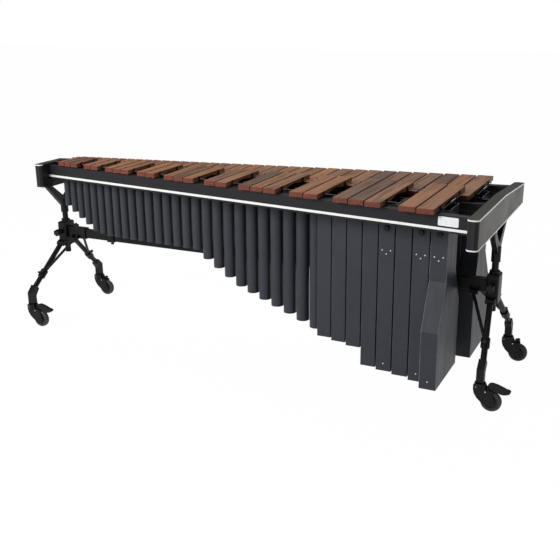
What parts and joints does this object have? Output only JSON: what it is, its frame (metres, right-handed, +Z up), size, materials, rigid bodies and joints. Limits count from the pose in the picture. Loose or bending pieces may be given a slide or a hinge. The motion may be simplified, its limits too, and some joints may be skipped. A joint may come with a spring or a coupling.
{
  "type": "marimba",
  "caption": "Concert marimba: tapered double row of rosewood bars over tube and box resonators, on a folding, height-adjustable stand with braked casters.",
  "frame": {"origin": "on the floor under the middle of the whole outline", "axes": "+X along the keyboard towards the low notes, -Y towards the audience side with the accidentals, +Z up"},
  "size_m": [2.879, 1.0604, 0.987],
  "materials": {
    "rosewood": "oiled rosewood",
    "cord": "braided cord",
    "bright_steel": "bright plated",
    "post_plastic": "moulded",
    "resonator_grey": "fine textured slate grey powder coat",
    "black_rail": "satin black lacquer",
    "charcoal_panel": "charcoal laminate with black end caps",
    "silver_trim": "satin",
    "plate": "plain",
    "tyre": "grey rubber tread",
    "knob_plastic": "moulded",
    "black_metal": "satin black powder coat"
  },
  "bodies": {
    "base": {"crossbar": "black_metal", "crossbar_clamp": "black_metal", "low_hub": "black_metal", "high_hub": "black_metal"},
    "deck": {"accidental_boxes": "resonator_grey", "accidental_inner_rail": "black_rail", "accidental_tubes": "resonator_grey", "bar_cords": "cord", "bar_posts": "post_plastic", "bars_octave_1": "rosewood", "bars_octave_2": "rosewood", "bars_octave_3": "rosewood", "bars_octave_4": "rosewood", "bars_octave_5": "rosewood", "cord_springs": "bright_steel", "far_rail": "black_rail", "high_end_panel": "charcoal_panel", "high_yoke": "black_metal", "label_plate": "plate", "low_end_panel": "charcoal_panel", "low_yoke": "black_metal", "natural_boxes": "resonator_grey", "natural_inner_rail": "black_rail", "natural_tubes": "resonator_grey", "near_rail": "black_rail", "panel_piping": "silver_trim", "rail_stripes": "silver_trim", "resonator_rivets": "bright_steel", "resonator_strips": "black_metal"},
    "tuning_knob_4": {"tuning_knob_4": "knob_plastic"},
    "tuning_knob_2": {"tuning_knob_2": "knob_plastic"},
    "tuning_knob_1": {"tuning_knob_1": "knob_plastic"},
    "low_near_knob": {"low_near_knob": "knob_plastic"},
    "low_far_knob": {"low_far_knob": "knob_plastic"},
    "high_near_knob": {"high_near_knob": "knob_plastic"},
    "high_far_knob": {"high_far_knob": "knob_plastic"},
    "low_near_leg": {"low_near_leg": "black_metal", "low_near_knee": "black_metal", "low_near_strut": "black_metal"},
    "low_near_caster": {"low_near_caster_fork": "black_metal"},
    "low_near_wheel": {"low_near_wheel": "tyre"},
    "low_near_pedal": {"low_near_pedal": "knob_plastic"},
    "low_far_leg": {"low_far_leg": "black_metal", "low_far_knee": "black_metal", "low_far_strut": "black_metal"},
    "low_far_caster": {"low_far_caster_fork": "black_metal"},
    "low_far_wheel": {"low_far_wheel": "tyre"},
    "low_far_pedal": {"low_far_pedal": "knob_plastic"},
    "high_near_leg": {"high_near_leg": "black_metal", "high_near_knee": "black_metal", "high_near_strut": "black_metal"},
    "high_near_caster": {"high_near_caster_fork": "black_metal"},
    "high_near_wheel": {"high_near_wheel": "tyre"},
    "high_near_pedal": {"high_near_pedal": "knob_plastic"},
    "high_far_leg": {"high_far_leg": "black_metal", "high_far_knee": "black_metal", "high_far_strut": "black_metal"},
    "high_far_caster": {"high_far_caster_fork": "black_metal"},
    "high_far_wheel": {"high_far_wheel": "tyre"},
    "high_far_pedal": {"high_far_pedal": "knob_plastic"}
  },
  "joints": [
    {"name": "height_adjust", "type": "slide", "parent": "base", "child": "deck", "axis": [0, 0, 1], "range_m": [0, 0.11]},
    {"name": "tuning_knob_4_turn", "type": "hinge", "parent": "deck", "child": "tuning_knob_4", "pos_m": [0.79766, -0.2711, 0.824], "axis": [0, 1, 0], "range_deg": [0, 90]},
    {"name": "tuning_knob_2_turn", "type": "hinge", "parent": "deck", "child": "tuning_knob_2", "pos_m": [0.9713, -0.28092, 0.824], "axis": [0, 1, 0], "range_deg": [0, 90]},
    {"name": "tuning_knob_1_turn", "type": "hinge", "parent": "deck", "child": "tuning_knob_1", "pos_m": [1.0599, -0.28593, 0.824], "axis": [0, 1, 0], "range_deg": [0, 90]},
    {"name": "low_near_knob_turn", "type": "hinge", "parent": "base", "child": "low_near_knob", "pos_m": [1.2675, -0.068, 0.524], "axis": [0, 1, 0], "continuous": true},
    {"name": "low_far_knob_turn", "type": "hinge", "parent": "base", "child": "low_far_knob", "pos_m": [1.2675, 0.068, 0.524], "axis": [0, 1, 0], "continuous": true},
    {"name": "high_near_knob_turn", "type": "hinge", "parent": "base", "child": "high_near_knob", "pos_m": [-1.3805, -0.068, 0.524], "axis": [0, 1, 0], "continuous": true},
    {"name": "high_far_knob_turn", "type": "hinge", "parent": "base", "child": "high_far_knob", "pos_m": [-1.3805, 0.068, 0.524], "axis": [0, 1, 0], "continuous": true},
    {"name": "low_near_leg_fold", "type": "hinge", "parent": "base", "child": "low_near_leg", "pos_m": [1.2675, -0.064, 0.45], "axis": [1, 0, 0], "range_deg": [0, 35]},
    {"name": "low_near_swivel", "type": "hinge", "parent": "low_near_leg", "child": "low_near_caster", "pos_m": [1.2995, -0.326, 0.138], "axis": [0, 0, 1], "continuous": true},
    {"name": "low_near_wheel_spin", "type": "hinge", "parent": "low_near_caster", "child": "low_near_wheel", "pos_m": [1.3555, -0.326, 0.05], "axis": [0, 1, 0], "continuous": true},
    {"name": "low_near_brake", "type": "hinge", "parent": "low_near_caster", "child": "low_near_pedal", "pos_m": [1.3415, -0.326, 0.115], "axis": [0, 1, 0], "range_deg": [-18, 0]},
    {"name": "low_far_leg_fold", "type": "hinge", "parent": "base", "child": "low_far_leg", "pos_m": [1.2675, 0.064, 0.45], "axis": [-1, 0, 0], "range_deg": [0, 35]},
    {"name": "low_far_swivel", "type": "hinge", "parent": "low_far_leg", "child": "low_far_caster", "pos_m": [1.2995, 0.326, 0.138], "axis": [0, 0, 1], "continuous": true},
    {"name": "low_far_wheel_spin", "type": "hinge", "parent": "low_far_caster", "child": "low_far_wheel", "pos_m": [1.3555, 0.326, 0.05], "axis": [0, 1, 0], "continuous": true},
    {"name": "low_far_brake", "type": "hinge", "parent": "low_far_caster", "child": "low_far_pedal", "pos_m": [1.3415, 0.326, 0.115], "axis": [0, 1, 0], "range_deg": [0, 10]},
    {"name": "high_near_leg_fold", "type": "hinge", "parent": "base", "child": "high_near_leg", "pos_m": [-1.3805, -0.064, 0.45], "axis": [1, 0, 0], "range_deg": [0, 35]},
    {"name": "high_near_swivel", "type": "hinge", "parent": "high_near_leg", "child": "high_near_caster", "pos_m": [-1.4125, -0.326, 0.138], "axis": [0, 0, 1], "continuous": true},
    {"name": "high_near_wheel_spin", "type": "hinge", "parent": "high_near_caster", "child": "high_near_wheel", "pos_m": [-1.3565, -0.326, 0.05], "axis": [0, 1, 0], "continuous": true},
    {"name": "high_near_brake", "type": "hinge", "parent": "high_near_caster", "child": "high_near_pedal", "pos_m": [-1.3705, -0.326, 0.115], "axis": [0, 1, 0], "range_deg": [-18, 0]},
    {"name": "high_far_leg_fold", "type": "hinge", "parent": "base", "child": "high_far_leg", "pos_m": [-1.3805, 0.064, 0.45], "axis": [-1, 0, 0], "range_deg": [0, 35]},
    {"name": "high_far_swivel", "type": "hinge", "parent": "high_far_leg", "child": "high_far_caster", "pos_m": [-1.4125, 0.326, 0.138], "axis": [0, 0, 1], "continuous": true},
    {"name": "high_far_wheel_spin", "type": "hinge", "parent": "high_far_caster", "child": "high_far_wheel", "pos_m": [-1.3565, 0.326, 0.05], "axis": [0, 1, 0], "continuous": true},
    {"name": "high_far_brake", "type": "hinge", "parent": "high_far_caster", "child": "high_far_pedal", "pos_m": [-1.3705, 0.326, 0.115], "axis": [0, 1, 0], "range_deg": [0, 10]}
  ]
}
